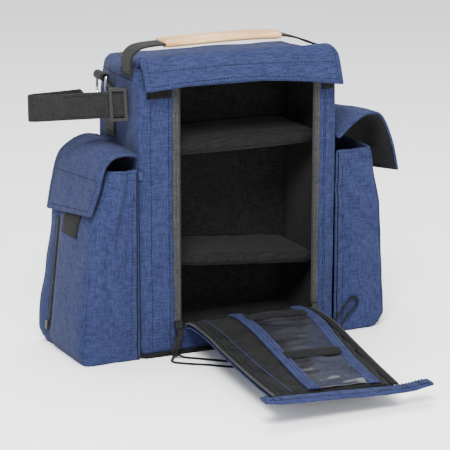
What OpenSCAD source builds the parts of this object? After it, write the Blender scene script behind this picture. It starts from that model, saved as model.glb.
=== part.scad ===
// Soft shoulder case for a reflex camera, standing with its front door open.
// Frame: +X to the wearer's right of the front view, the front faces -Y, +Z up.
// The origin is the middle of the base, on the surface the case stands on.

/* [Body] */
// Width of the body
body_w = 215; // [200:1:240]
// Depth of the body
body_d = 112; // [104:1:120]
// Height of the side panels
body_h = 288; // [284:1:296]
// Thickness of the outer cloth and its backing
shell_t = 3; // [2:0.5:4]
// Thickness of the foam liners
liner_t = 8; // [5:0.5:8]

/* [Front opening] */
// Left side of the opening between the zips
opening_left = -63.3; // [-66:0.1:-60]
// Right side of the opening between the zips
opening_right = 80.2; // [78:0.1:82]
// Lower end of the zips
opening_bottom = 30; // [28:1:34]
// Upper end of the zips
opening_top = 270; // [260:1:274]
// Width of a zip tape
tape_w = 7.4; // [5:0.1:8]

/* [Door] */
// Thickness of the padded door
door_t = 6; // [4:0.5:7]
// Thickness of the rolled hem at the door's end
hem_t = 8; // [6:0.5:9]

/* [Pockets] */
// Front of the side pockets
pocket_front = -56; // [-60:1:-52]
// Back of the side pockets
pocket_back = 50; // [44:1:54]
// Height of the pocket mouth
pocket_h = 192; // [180:1:200]
// Thickness of a pocket flap
flap_t = 3; // [2:0.5:3.5]

/* [Dividers] */
// Height of the upper divider
upper_divider_z = 207; // [200:1:215]
// Height of the lower divider at the middle
lower_divider_z = 87; // [80:1:95]
// Slope of the lower divider, down to the right
divider_slope = 5; // [0:0.5:6]

/* [Webbing and hardware] */
// Width of the handle webbing
handle_w = 26; // [20:1:28]
// Width of the strap webbing
strap_w = 25; // [20:1:26]
// Thickness of webbing
webbing_t = 2; // [1.5:0.1:2.5]
// Radius of the ring wire
wire_r = 1.5; // [1.2:0.1:1.6]
// Diameter of the elastic pull cords
cord_d = 2.2; // [1.8:0.1:2.4]

/* [Hidden] */
$fn = 48;

gap = 0.3;
half_w = body_w / 2;
front_y = -body_d / 2;
back_y = body_d / 2;
inner_w = half_w - shell_t - gap;
liner_in = inner_w - liner_t;
floor_z = 4;
liner_z = floor_z + gap;
roof_z = body_h - gap;

blue = "#48609a";
dark = "#2b2b2d";
webbing_colour = "#3a3a3b";
tape_colour = "#57575a";
leather = "#d9b895";
metal = "#c9ccd0";
vinyl = "#5a5c60";

// ---- shared shape functions -------------------------------------------------

function unit(v) = v / norm(v);
function mix(a, b, t) = a + (b - a) * t;
function tangent(p, i) = unit(p[min(i + 1, len(p) - 1)] - p[max(i - 1, 0)]);
function left_of(t) = [-t[1], t[0]];

// Closed outline of a sheet of thickness t whose middle line is p
function band(p, t) = concat(
    [for (i = [0:len(p) - 1]) p[i] + left_of(tangent(p, i)) * t / 2],
    [for (i = [len(p) - 1:-1:0]) p[i] - left_of(tangent(p, i)) * t / 2]
);

// Closed solid through a list of outlines that all have the same even number of points.
// Its ends are strips from each point to the one across the outline, so bent bands stay whole.
// Each side face is split at its middle, so both sides of a twisted sheet bend alike.
module loft(sections, flip = false) {
    n = len(sections[0]);
    m = len(sections);
    middles = [for (k = [0:m - 2]) for (i = [0:n - 1]) let (j = (i + 1) % n)
        (sections[k][i] + sections[k][j] + sections[k + 1][i] + sections[k + 1][j]) / 4];
    sides = [for (k = [0:m - 2]) for (i = [0:n - 1])
        let (
            j = (i + 1) % n,
            corners = [k * n + i, (k + 1) * n + i, (k + 1) * n + j, k * n + j]
        )
        for (c = [0:3]) [corners[c], corners[(c + 1) % 4], m * n + k * n + i]];
    strips = [for (i = [0:n / 2 - 2]) [i, i + 1, n - 2 - i, n - 1 - i]];
    ends = [for (f = strips) [for (i = [3:-1:0]) (m - 1) * n + f[i]]];
    faces = concat(sides, strips, ends);
    polyhedron(
        points = concat([for (s = sections) each s], middles),
        faces = flip ? [for (f = faces) [for (i = [len(f) - 1:-1:0]) f[i]]] : faces
    );
}

// Sheet between a front and a back middle line, both given as [x, z] points
module cross_sheet(front, back, y0, y1, t) {
    loft([
        [for (q = band(front, t)) [q[0], y0, q[1]]],
        [for (q = band(back, t)) [q[0], y1, q[1]]]
    ]);
}

// Flat strap along a path; half holds the half-width vector at each point
module ribbon(path, half, t) {
    loft([for (i = [0:len(path) - 1])
        let (
            s = tangent(path, i),
            w = half[i],
            h = unit(cross(s, w)) * t / 2
        )
        [path[i] + w + h, path[i] - w + h, path[i] - w - h, path[i] + w - h]
    ]);
}

// Round cord along a path that never runs straight up
module cord(path, d) {
    sides = 8;
    loft([for (i = [0:len(path) - 1])
        let (
            s = tangent(path, i),
            a = unit(cross(s, [0, 0, 1])),
            b = cross(s, a)
        )
        [for (k = [0:sides - 1]) path[i] + (a * cos(360 * k / sides) + b * sin(360 * k / sides)) * d / 2]
    ]);
}

module block(low, high) {
    translate(low) cube(high - low);
}

module along_x(x0, x1, y, z, r) {
    translate([x0, y, z]) rotate([0, 90, 0]) cylinder(h = x1 - x0, r = r);
}

module along_y(y0, y1, x, z, r) {
    translate([x, y0, z]) rotate([-90, 0, 0]) cylinder(h = y1 - y0, r = r);
}

module left_side() {
    mirror([1, 0, 0]) children();
}

// ---- outer panels -----------------------------------------------------------

module base_panel() {
    cut = 6;
    x = half_w - 0.3;
    y = back_y - 0.3;
    color(dark) linear_extrude(floor_z) polygon([
        [-x + cut, -y], [x - cut, -y], [x, -y + cut], [x, y - cut],
        [x - cut, y], [-x + cut, y], [-x, y - cut], [-x, -y + cut]
    ]);
}

module back_panel() {
    color(blue) block([-inner_w, back_y - shell_t, liner_z], [inner_w, back_y, roof_z]);
}

module side_panel() {
    color(blue) block([half_w - shell_t, front_y + shell_t + gap, liner_z], [half_w, back_y, roof_z]);
}

module left_side_panel() left_side() side_panel();
module right_side_panel() side_panel();

module top_panel() {
    edge = 1.5;
    crown = 3.5;
    shoulder = 20;
    color(blue) translate([0, back_y, body_h]) rotate([90, 0, 0]) linear_extrude(body_d - 5) polygon([
        [-half_w, 0], [half_w, 0], [half_w, edge],
        [half_w - shoulder, crown], [-half_w + shoulder, crown], [-half_w, edge]
    ]);
}

module front_left_strip() {
    color(blue) block([-half_w, front_y, liner_z], [opening_left - tape_w - 0.4, front_y + shell_t, roof_z]);
}

module front_right_strip() {
    color(blue) block([opening_right + tape_w + 0.4, front_y, liner_z], [half_w, front_y + shell_t, roof_z]);
}

module front_kick_panel() {
    color(blue) block(
        [opening_left - tape_w, front_y, liner_z],
        [opening_right + tape_w, front_y + shell_t, opening_bottom - 3]
    );
}

module front_header() {
    color(blue) block(
        [opening_left - tape_w, front_y, opening_top + gap],
        [opening_right + tape_w, front_y + shell_t, roof_z]
    );
}

// ---- foam liners ------------------------------------------------------------

module side_liner() {
    color(dark) block([liner_in, front_y + shell_t + gap, liner_z], [inner_w, back_y - shell_t - gap, roof_z]);
}

module left_liner() left_side() side_liner();
module right_liner() side_liner();

module back_liner() {
    outer = back_y - shell_t - gap;
    color(dark) block([-liner_in + gap, outer - liner_t, liner_z], [liner_in - gap, outer, roof_z]);
}

// Foam that lies flat between the side liners, its underside at height z
module flat_liner(z) {
    back = back_y - shell_t - liner_t - 2 * gap;
    color(dark) block([-liner_in + gap, front_y + shell_t + gap, z], [liner_in - gap, back, z + liner_t]);
}

module base_liner() flat_liner(liner_z);
module top_liner() flat_liner(roof_z - liner_t);

// ---- zips of the door -------------------------------------------------------

tape_t = 2;

module zip_tape(x) {
    color(tape_colour) block([x, front_y, opening_bottom + 4], [x + tape_w, front_y + tape_t, opening_top]);
}

module left_zip_tape() zip_tape(opening_left - tape_w);
module right_zip_tape() zip_tape(opening_right);

slider_bottom = 22.5;
slider_h = 13;
pin_y = front_y - 6.6;
pin_z = 25.5;
pin_r = 0.8;
left_zip_x = opening_left - tape_w / 2 - 0.4;
right_zip_x = opening_right + tape_w / 2 - 0.3;

// Zip slider with the bail and pin that hold its pull
module zip_slider(x) {
    plate = 3;
    cheek_in = 2.6;
    cheek_out = 3.5;
    color(metal) {
        translate([x, front_y - 0.5, slider_bottom]) rotate([90, 0, 0]) linear_extrude(plate)
            polygon([[-3, 0], [3, 0], [3.8, 5], [3.8, slider_h], [-3.8, slider_h], [-3.8, 5]]);
        for (side = [-1, 1]) {
            x0 = x + (side > 0 ? cheek_in : -cheek_out);
            block([x0, pin_y - 1.4, pin_z - 1.8], [x0 + cheek_out - cheek_in, front_y - 3.3, pin_z + 3]);
        }
        along_x(x - cheek_out, x + cheek_out, pin_y, pin_z, pin_r);
    }
}

module left_zip_slider() zip_slider(left_zip_x);
module right_zip_slider() zip_slider(right_zip_x);

knot_r = 3.8;

// Pull tab that hangs from the slider's pin and leans outwards, with the cord's knot at its end
module pull_tab(x, lean) {
    eye_r = 2;
    eye_w = 2.2;
    path = [[x, pin_y, pin_z - 1.5], [x + lean * 0.2, pin_y - 0.1, 20], [x + lean * 0.6, pin_y - 0.4, 13],
        [x + lean, pin_y - 0.8, 7]];
    half = [[eye_w, 0, 0], [3.2, 0, 0], [3.8, 0, 0], [3.6, 0, 0]];
    color(webbing_colour) {
        difference() {
            union() {
                along_x(x - eye_w, x + eye_w, pin_y, pin_z, eye_r);
                ribbon(path, half, webbing_t);
                translate([x + lean * 1.2, pin_y - 2.4, knot_r + 0.8]) sphere(knot_r);
            }
            along_x(x - 5, x + 5, pin_y, pin_z, pin_r + 0.06);
        }
    }
}

module left_pull_tab() pull_tab(left_zip_x, -6);
module right_pull_tab() pull_tab(right_zip_x, 6);

// Routes of the doubled pull cords, out from the knot and back to it
left_cord_route = [
    [-76.5, -67.3, 3.2], [-79, -70, 2], [-81.5, -74, 1.2], [-81, -79, 1.2], [-77, -83, 1.2],
    [-71, -88, 1.2], [-65, -92, 1.2], [-59, -96, 1.2], [-53, -100, 1.2], [-47, -105, 1.2],
    [-41, -110, 1.2], [-35, -114, 1.2], [-29, -118, 1.2], [-23, -122, 1.2], [-17, -123, 1.2],
    [-13, -120, 1.2], [-12, -115, 1.2], [-15, -110, 1.2], [-20, -106, 1.2], [-25, -103, 1.2],
    [-30, -99, 1.2], [-36, -94, 1.2], [-42, -89, 1.2], [-48, -84, 1.2], [-54, -79, 1.2],
    [-60, -74, 1.2], [-65, -70.5, 1.4], [-69, -68, 2.4], [-72.2, -66.5, 4]
];
right_cord_route = [
    [89, -67.5, 3.5], [89.5, -71, 2], [91.5, -75, 1.4], [95, -77.5, 1.6], [99.5, -77.5, 2.8],
    [103.5, -75, 5], [107, -71, 7.6], [111, -66.5, 10.4], [115.5, -62.8, 13.6], [120, -60.5, 17.2],
    [124.6, -59.4, 21], [129.2, -58.9, 25], [132.6, -58.7, 29.4], [132.8, -58.6, 34], [129.6, -58.5, 36.6],
    [125.4, -58.6, 35.6], [121.4, -58.9, 32], [117.4, -59.5, 28], [113.4, -60.5, 24], [109.4, -61.8, 20],
    [105.4, -63, 16.4], [101.4, -64, 13], [97.8, -64.7, 10.2], [94.9, -65.1, 7.9], [92.8, -65.3, 6.2]
];

module left_pull_cord() color(dark) cord(left_cord_route, cord_d);
module right_pull_cord() color(dark) cord(right_cord_route, cord_d);

// ---- hook and loop, webbing, rings ------------------------------------------

module front_loop_patches() {
    color(dark) {
        block([-98, front_y - 1.2, 258], [-73, front_y, 270]);
        block([90, front_y - 1.2, 256], [106, front_y, 268]);
    }
}

handle_y = -32;
handle_z = 290.3;

module handle_anchors() {
    color(webbing_colour) for (side = [-1, 1])
        block(
            [side > 0 ? half_w : -half_w - webbing_t, handle_y - handle_w / 2, 280],
            [side > 0 ? half_w + webbing_t : -half_w, handle_y + handle_w / 2, handle_z]
        );
}

ring_y = 15;
ring_x = 117.5;
ring_z = 274;
loop_r = 4.6;
ring_half = 13.5;
ring_leg = 12;

// Webbing sewn to the side, ending in a loop round the ring's straight bar
module side_webbing() {
    tail = 11.5;
    x0 = half_w;
    color(webbing_colour) {
        block([x0, ring_y - 13, 214], [x0 + webbing_t, ring_y + 13, 262]);
        translate([0, ring_y + tail, 0]) rotate([90, 0, 0]) linear_extrude(2 * tail)
            polygon([[x0, 261], [x0 + webbing_t, 261], [116, 270.6], [113.6, 272.4]]);
        difference() {
            along_y(ring_y - tail, ring_y + tail, ring_x, ring_z, loop_r);
            along_y(ring_y - tail - 1, ring_y + tail + 1, ring_x, ring_z, wire_r + 0.08);
        }
    }
}

module left_side_webbing() left_side() side_webbing();
module right_side_webbing() side_webbing();

module ring() {
    bend_z = ring_z - ring_leg;
    color(metal) translate([ring_x, ring_y, 0]) {
        translate([0, -ring_half, ring_z]) rotate([-90, 0, 0]) cylinder(h = 2 * ring_half, r = wire_r);
        for (side = [-1, 1]) {
            translate([0, side * ring_half, bend_z]) cylinder(h = ring_leg, r = wire_r);
            translate([0, side * ring_half, ring_z]) sphere(wire_r);
        }
        translate([0, 0, bend_z]) rotate([90, 0, 90]) rotate([0, 0, 180])
            rotate_extrude(angle = 180) translate([ring_half, 0]) circle(wire_r);
    }
}

module left_ring() left_side() ring();
module right_ring() ring();

// ---- side strap and its slide buckle ----------------------------------------

strap_t = 1.6;
eye_z = 249.8;
strap_fold = [-197, 0, 250];
strap_end = [-111.5, -40, 255];
strap_low = [-190, -6, 250.5];
strap_turn = atan2(strap_end[1] - strap_low[1], strap_end[0] - strap_low[0]);
strap_rise = atan2(strap_end[2] - strap_low[2], norm([strap_end[0] - strap_low[0], strap_end[1] - strap_low[1]]));

// Strap that leaves the ring, folds back at its far end and comes forward to the buckle
module side_strap() {
    half = strap_w / 2;
    path = [[-124, ring_y, eye_z], [-130, ring_y - 0.5, eye_z], [-137, ring_y - 1.5, eye_z],
        [-146, ring_y - 3, eye_z], [-170, ring_y - 6, eye_z], [-188, 7.5, eye_z], [-194.5, 5.5, eye_z],
        [-197.5, 1.5, eye_z + 0.2], [-196, -2.8, eye_z + 0.4], strap_low, strap_end];
    widths = [[0, 7, 0], [0, 8, 3], [0, 6, 9], [0, 0, half], [0, 0, half], [0, 0, half],
        [0, 0, half], [0, 0, half], [0, 0, half], [0, 0, half], [0, 0, half]];
    color(webbing_colour) {
        ribbon(path, widths, strap_t);
        translate([-ring_x, ring_y + 7, eye_z]) rotate([90, 0, 0]) linear_extrude(14) difference() {
            hull() for (dx = [-1.5, 1.5]) translate([dx, 0]) circle(5.6, $fn = 32);
            hull() for (dx = [-1.5, 1.5]) translate([dx, 0]) circle(4.1, $fn = 32);
        }
    }
}

buckle_w = 17;
buckle_h = 32;

// Three-bar buckle: the strap runs behind its side bars and in front of its middle bar
module strap_buckle() {
    bar = 3;
    depth = 3.2;
    inner = strap_w / 2 + 0.6;
    centre = strap_end + [-8, 3.5, -0.5];
    color(metal) translate(centre) rotate([0, -strap_rise, strap_turn]) {
        for (side = [-1, 1]) {
            block([-buckle_w / 2, -depth, side > 0 ? inner : -buckle_h / 2],
                [buckle_w / 2, depth, side > 0 ? buckle_h / 2 : -inner]);
            block([side > 0 ? buckle_w / 2 - bar : -buckle_w / 2, -depth, -buckle_h / 2],
                [side > 0 ? buckle_w / 2 : -buckle_w / 2 + bar, -strap_t / 2 - gap, buckle_h / 2]);
        }
        block([-bar / 2, strap_t / 2 + gap, -buckle_h / 2], [bar / 2, depth, buckle_h / 2]);
    }
}

// ---- side pockets -----------------------------------------------------------

face_t = 3;
// Outer line of each pocket face as [z, x], at the front and at the back
left_face_front = [[0, 166], [14, 171], [135, 157], [pocket_h, 138]];
left_face_back = [[0, 171], [14, 176], [135, 162], [pocket_h, 143]];
right_face_front = [[0, 158], [14, 168], [135, 160], [pocket_h, 148]];
right_face_back = [[0, 162], [14, 172], [135, 164], [pocket_h, 152]];

// Distance of a pocket face from the middle plane at a place on it
function face_x(front, back, y, z) =
    mix(lookup(z, front), lookup(z, back), (y - pocket_front) / (pocket_back - pocket_front));

module pocket_face(front, back) {
    function outline(line) = concat(
        [for (p = line) [p[1], p[0]]],
        [for (i = [len(line) - 1:-1:0]) [line[i][1] - face_t, line[i][0]]]
    );
    color(blue) loft([
        [for (q = outline(front)) [q[0], pocket_front, q[1]]],
        [for (q = outline(back)) [q[0], pocket_back, q[1]]]
    ], flip = true);
}

module left_pocket_face() left_side() pocket_face(left_face_front, left_face_back);
module right_pocket_face() pocket_face(right_face_front, right_face_back);

// End wall of a pocket, y0 its front
module pocket_gusset(line, y0) {
    inset = face_t + 0.5;
    wall = concat([[half_w + gap, 0]], [for (p = line) [p[1] - inset, p[0]]], [[half_w + gap, pocket_h]]);
    color(blue) translate([0, y0 + face_t, 0]) rotate([90, 0, 0]) linear_extrude(face_t) polygon(wall);
}

module left_pocket_front_gusset() left_side() pocket_gusset(left_face_front, pocket_front);
module left_pocket_back_gusset() left_side() pocket_gusset(left_face_back, pocket_back - face_t);
module right_pocket_front_gusset() pocket_gusset(right_face_front, pocket_front);
module right_pocket_back_gusset() pocket_gusset(right_face_back, pocket_back - face_t);

module pocket_base(front, back) {
    inset = face_t + 0.6;
    color(blue) linear_extrude(face_t) polygon([
        [half_w + gap, pocket_front + inset], [front[0][1] - inset, pocket_front + inset],
        [back[0][1] - inset, pocket_back - inset], [half_w + gap, pocket_back - inset]
    ]);
}

module left_pocket_base() left_side() pocket_base(left_face_front, left_face_back);
module right_pocket_base() pocket_base(right_face_front, right_face_back);

// Thin piece that lies on a pocket face between two heights and two places along it
module on_face(front, back, y0, y1, heights, lift, t) {
    function line(y) = [for (z = heights) [face_x(front, back, y, z) + lift + t / 2, z]];
    cross_sheet(line(y0), line(y1), y0, y1, t);
}

patch_y0 = -28;
patch_y1 = 10;

module pocket_hook_patches() {
    heights = [112, 135, 150];
    color(dark) {
        left_side() on_face(left_face_front, left_face_back, patch_y0, patch_y1, heights, 0.1, 1);
        on_face(right_face_front, right_face_back, patch_y0, patch_y1, heights, 0.1, 1);
    }
}

zip_y = 25;

module pocket_zip_tapes() {
    heights = [28, 60, 100, 134];
    color(dark) {
        left_side() on_face(left_face_front, left_face_back, zip_y - 2.5, zip_y + 2.5, heights, 0.1, 1);
        on_face(right_face_front, right_face_back, zip_y - 2.5, zip_y + 2.5, heights, 0.1, 1);
    }
}

module pocket_slider(front, back) {
    color(metal) on_face(front, back, zip_y - 3, zip_y + 3, [18, 22, 27], 1.6, 2.4);
}

module left_pocket_slider() left_side() pocket_slider(left_face_front, left_face_back);
module right_pocket_slider() pocket_slider(right_face_front, right_face_back);

// Middle lines of the pocket flaps as [x, z], from the seam on the body to the free end
left_flap_front = [[109.5, 207], [122, 209], [135, 206], [143, 197], [149, 174], [157.5, 152]];
left_flap_back = [[109.5, 207], [123, 208.5], [138, 203.5], [151, 192], [158.5, 165], [164, 137]];
right_flap_front = [[109.5, 206], [124, 219], [140, 228], [156, 226], [169, 200], [178, 167]];
right_flap_back = [[109.5, 207], [124, 217], [143, 220], [160, 212], [170, 185], [175, 152]];
flap_y0 = pocket_front - 0.5;
flap_y1 = pocket_back + 2;

module flap(front, back) {
    color(blue) cross_sheet(front, back, flap_y0, flap_y1, flap_t);
}

module left_flap() left_side() flap(left_flap_front, left_flap_back);
module right_flap() flap(right_flap_front, right_flap_back);

// Hook patch under the free end of a flap
module flap_patch(front, back) {
    last = len(front) - 1;
    drop = flap_t / 2 + 0.9;
    function end_line(y, a, b) = let (
            t = (y - flap_y0) / (flap_y1 - flap_y0),
            p = mix(front[last - 1], back[last - 1], t),
            q = mix(front[last], back[last], t),
            away = left_of(unit(q - p)) * -drop
        ) [mix(p, q, a) + away, mix(p, q, b) + away];
    color(dark) cross_sheet(end_line(patch_y0, 0.2, 0.9), end_line(patch_y1, 0.2, 0.9), patch_y0, patch_y1, 1);
}

module left_flap_patch() left_side() flap_patch(left_flap_front, left_flap_back);
module right_flap_patch() flap_patch(right_flap_front, right_flap_back);

// ---- door -------------------------------------------------------------------

// Stations of the open door, from its fold outwards: y, left x, right x, left z, right z of its top
door_stations = [
    [-60.3, -62.3, 79.4, 34, 33.5], [-72, -62.3, 79.4, 37.5, 34.5], [-90, -62.3, 79.4, 38.5, 34.5],
    [-115, -62.3, 79, 37.5, 33], [-150, -62.3, 77.5, 33.5, 28], [-190, -62.4, 74, 30, 24],
    [-230, -62.6, 70, 27.5, 21], [-268, -63, 65, 26.5, 20]
];

function door_at(y, k) = lookup(-y, [for (s = door_stations) [-s[0], s[k]]]);
// Height of the door's top at a place on it
function door_top(x, y) =
    let (a = door_at(y, 1), b = door_at(y, 2))
    mix(door_at(y, 3), door_at(y, 4), (x - a) / (b - a));

// Slab that follows the door's top between x0(y) and x1(y), from lift - t to lift above it
module on_door(stations, lift, t) {
    loft([for (s = stations)
        let (
            za = door_top(s[1], s[0]) + lift,
            zb = door_top(s[2], s[0]) + lift
        )
        [[s[1], s[0], za - t], [s[2], s[0], zb - t], [s[2], s[0], zb], [s[1], s[0], za]]
    ]);
}

edge_w = 1.3;

module door_panel() {
    color(dark) on_door([for (s = door_stations) [s[0], s[1] + edge_w, s[2] - edge_w]], 0, door_t);
}

module door_zip_tapes() {
    color(tape_colour) {
        on_door([for (s = door_stations) [s[0], s[1], s[1] + edge_w - 0.05]], -1, 3);
        on_door([for (s = door_stations) [s[0], s[2] - edge_w + 0.05, s[2]]], -1, 3);
    }
}

hem_y = -268.3;
hem_w = 17;

// Rolled hem along the door's free end, wider than the door
module door_hem() {
    function ring_at(x, z) = [for (a = [22.5:45:337.5])
        [x, hem_y - hem_w / 2 + hem_w / 2 * cos(a) / cos(22.5), z + hem_t / 2 * sin(a) / cos(22.5)]];
    color(blue) loft([ring_at(-78, 27), ring_at(-62, 24.5), ring_at(64, 17.5), ring_at(92, 20)]);
}

window_lift = 1.6;
// Left and right sides of the clear pockets along the door
function window_left(y) = lookup(-y, [[60, -3], [150, -5], [262, -15]]);
function window_right(y) = lookup(-y, [[60, 54], [100, 56], [150, 50], [200, 43], [262, 36]]);
pane_rows = [[-63, -72, -79], [-94, -115, -150, -175], [-191, -230, -262]];

module door_windows() {
    color(vinyl) for (row = pane_rows)
        on_door([for (y = row) [y, window_left(y) + 0.2, window_right(y) - 0.2]], window_lift, 1.2);
}

binding_w = 12;
binding_rows = [-63, -72, -90, -115, -150, -190, -230, -262];

module window_bindings() {
    color(blue) {
        on_door([for (y = binding_rows) [y, window_left(y) - binding_w, window_left(y)]], 2, 1.6);
        on_door([for (y = binding_rows) [y, window_right(y), window_right(y) + binding_w - 1]], 2, 1.6);
    }
}

module window_bands() {
    color(dark) for (row = [[-79.4, -90, -93.6], [-175.4, -183, -190]])
        on_door([for (y = row) [y, window_left(y) + 0.2, window_right(y) - 0.2]], 2.4, 2);
}

// ---- hood -------------------------------------------------------------------

hood_t = 3;

// Middle line of the hood as [y, z] for a free edge at height low
function hood_line(low) = [[-49.5, 295.5], [-50.8, 299], [-54.5, 300], [-60, 293.5], [-66, (293.5 + low) / 2 + 0.5],
    [-72.5, low]];
hood_places = [[-104.3, 274], [-60, 275.5], [0, 275], [60, 270.5], [104.3, 265.5]];

module hood_panel() {
    color(blue) loft([for (p = hood_places) [for (q = band(hood_line(p[1]), hood_t)) [p[0], q[0], q[1]]]], flip = true);
}

module hood_hook_strip() {
    drop = hood_t / 2 + 0.8;
    function strip_line(low) = let (
            p = hood_line(low),
            away = left_of(unit(p[5] - p[4])) * drop
        ) [mix(p[4], p[5], 0.15) + away, mix(p[4], p[5], 0.85) + away];
    color(dark) loft(
        [for (p = hood_places) [for (q = band(strip_line(p[1]), 1.2)) [p[0] * 0.95, q[0], q[1]]]],
        flip = true
    );
}

// ---- handle -----------------------------------------------------------------

// Middle line of the handle as [x, z], from its left anchor to its right one
handle_line = [
    [-108.7, 290.7], [-108.9, 297], [-105, 304], [-97, 308.5], [-73, 310.5], [-50, 311.2], [-20, 312],
    [20, 312.5], [50, 311.5], [64, 309], [78, 304.5], [90, 299.5], [100, 296.5], [108, 293.2], [108.7, 290.7]
];
grip_first = 4;
grip_last = 8;

module handle_webbing() {
    path = [for (p = handle_line) [p[0], handle_y, p[1]]];
    color(webbing_colour) ribbon(path, [for (p = path) [0, handle_w / 2, 0]], webbing_t);
}

// Leather wrapped flat round the webbing
module handle_grip() {
    half_w = 14.5;
    half_t = 4.6;
    corner = 2.5;
    outline = [
        [-half_w, -half_t + corner], [-half_w + corner, -half_t], [half_w - corner, -half_t],
        [half_w, -half_t + corner], [half_w, half_t - corner], [half_w - corner, half_t],
        [-half_w + corner, half_t], [-half_w, half_t - corner]
    ];
    color(leather) loft([for (i = [grip_first:grip_last])
        [for (q = outline) [handle_line[i][0], handle_y + q[0], handle_line[i][1] + q[1]]]
    ]);
}

// ---- dividers ---------------------------------------------------------------

// Padded shelf with a rolled front edge
module divider(half_x, roll) {
    y0 = -42;
    y1 = back_y - shell_t - liner_t - 2 * gap - 0.2;
    color(dark) {
        block([-half_x, y0 + roll, -roll + 2], [half_x, y1, roll - 2]);
        along_x(-half_x, half_x, y0 + roll, 0, roll);
    }
}

module upper_divider() translate([0, 0, upper_divider_z]) divider(liner_in - 0.4, 8);
module lower_divider() translate([0, 0, lower_divider_z]) rotate([0, divider_slope, 0]) divider(liner_in - 0.6, 6);

// ---- what is drawn ----------------------------------------------------------

base_panel();
back_panel();
left_side_panel();
right_side_panel();
top_panel();
front_left_strip();
front_right_strip();
front_kick_panel();
front_header();
back_liner();
left_liner();
right_liner();
base_liner();
top_liner();
left_zip_tape();
right_zip_tape();
front_loop_patches();
handle_anchors();
left_side_webbing();
right_side_webbing();
left_pocket_face();
left_pocket_front_gusset();
left_pocket_back_gusset();
left_pocket_base();
right_pocket_face();
right_pocket_front_gusset();
right_pocket_back_gusset();
right_pocket_base();
pocket_hook_patches();
pocket_zip_tapes();
door_panel();
door_zip_tapes();
door_hem();
door_windows();
window_bindings();
window_bands();
hood_panel();
hood_hook_strip();
left_flap();
right_flap();
left_flap_patch();
right_flap_patch();
handle_webbing();
handle_grip();
left_zip_slider();
right_zip_slider();
left_pull_tab();
right_pull_tab();
left_pull_cord();
right_pull_cord();
left_pocket_slider();
right_pocket_slider();
left_ring();
right_ring();
side_strap();
strap_buckle();
upper_divider();
lower_divider();
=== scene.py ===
"""Looks of the soft camera bag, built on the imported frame. All shape helpers work in millimetres."""
import math

import bpy
import numpy as np
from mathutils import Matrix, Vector, noise


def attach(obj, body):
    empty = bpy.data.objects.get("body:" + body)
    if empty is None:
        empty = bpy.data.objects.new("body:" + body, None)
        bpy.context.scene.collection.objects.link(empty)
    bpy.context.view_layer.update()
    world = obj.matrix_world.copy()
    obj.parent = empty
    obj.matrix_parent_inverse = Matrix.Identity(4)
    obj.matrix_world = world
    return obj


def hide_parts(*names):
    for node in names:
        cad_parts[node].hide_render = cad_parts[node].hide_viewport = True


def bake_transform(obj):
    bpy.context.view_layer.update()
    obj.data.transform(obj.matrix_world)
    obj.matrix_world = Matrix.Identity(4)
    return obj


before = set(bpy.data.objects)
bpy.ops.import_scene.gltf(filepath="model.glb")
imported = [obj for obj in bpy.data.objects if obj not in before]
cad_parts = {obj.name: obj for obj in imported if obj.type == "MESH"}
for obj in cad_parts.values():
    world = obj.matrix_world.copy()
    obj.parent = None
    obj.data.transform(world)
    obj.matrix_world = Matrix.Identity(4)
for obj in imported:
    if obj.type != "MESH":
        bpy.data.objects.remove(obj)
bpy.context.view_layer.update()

BODY_X, FRONT_Y, BACK_Y, TOP_Z = 107.5, -56.0, 56.0, 290.5
OPEN_L, OPEN_R, OPEN_LOW, OPEN_HIGH = -63.3, 80.2, 30.0, 270.0
TAPE_W = 7.4


# ---- small maths ------------------------------------------------------------

def vec(*c):
    return np.array(c, float)


def unit(v):
    return v / max(np.linalg.norm(v), 1e-12)


def mix(a, b, t):
    return a + (b - a) * t


def smooth(x, xs, ys):
    """Smooth curve through the points (xs, ys), read at x."""
    xs, ys = np.asarray(xs, float), np.asarray(ys, float)
    i = int(np.clip(np.searchsorted(xs, x) - 1, 0, len(xs) - 2))
    h = xs[i + 1] - xs[i]
    t = float(np.clip((x - xs[i]) / h, 0, 1))

    def slope(k):
        a, b = max(k - 1, 0), min(k + 1, len(xs) - 1)
        return (ys[b] - ys[a]) / (xs[b] - xs[a])

    low, high = slope(i) * h, slope(i + 1) * h
    return ((2 * t**3 - 3 * t**2 + 1) * ys[i] + (t**3 - 2 * t**2 + t) * low
            + (3 * t**2 - 2 * t**3) * ys[i + 1] + (t**3 - t**2) * high)


def through(points, count):
    """count points evenly along the smooth curve through the given ones."""
    points = np.asarray(points, float)
    steps = run(points)
    fine = np.array([smooth(s, steps, points) for s in np.linspace(0, steps[-1], 8 * len(points))])
    along = run(fine)
    return np.array([[np.interp(s, along, fine[:, k]) for k in range(points.shape[1])]
                     for s in np.linspace(0, along[-1], count)])


def run(points):
    """Length along the points up to each of them."""
    return np.concatenate([[0], np.cumsum(np.linalg.norm(np.diff(points, axis=0), axis=1))])


def bow(t):
    """Half a sine wave: 0 at 0 and at 1, and 1 half way."""
    return math.sin(math.pi * t)


def boxy(a, power):
    """Sine or cosine drawn towards 1 or -1, which flattens a round section."""
    return math.copysign(abs(a) ** power, a)


def ripple(p, size, seed=0.0):
    """Smooth noise between -1 and 1 with features of about the given size."""
    return noise.noise(Vector(np.asarray(p, float) / size) + Vector((seed, seed * 1.7, -seed)))


# ---- materials --------------------------------------------------------------

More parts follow.
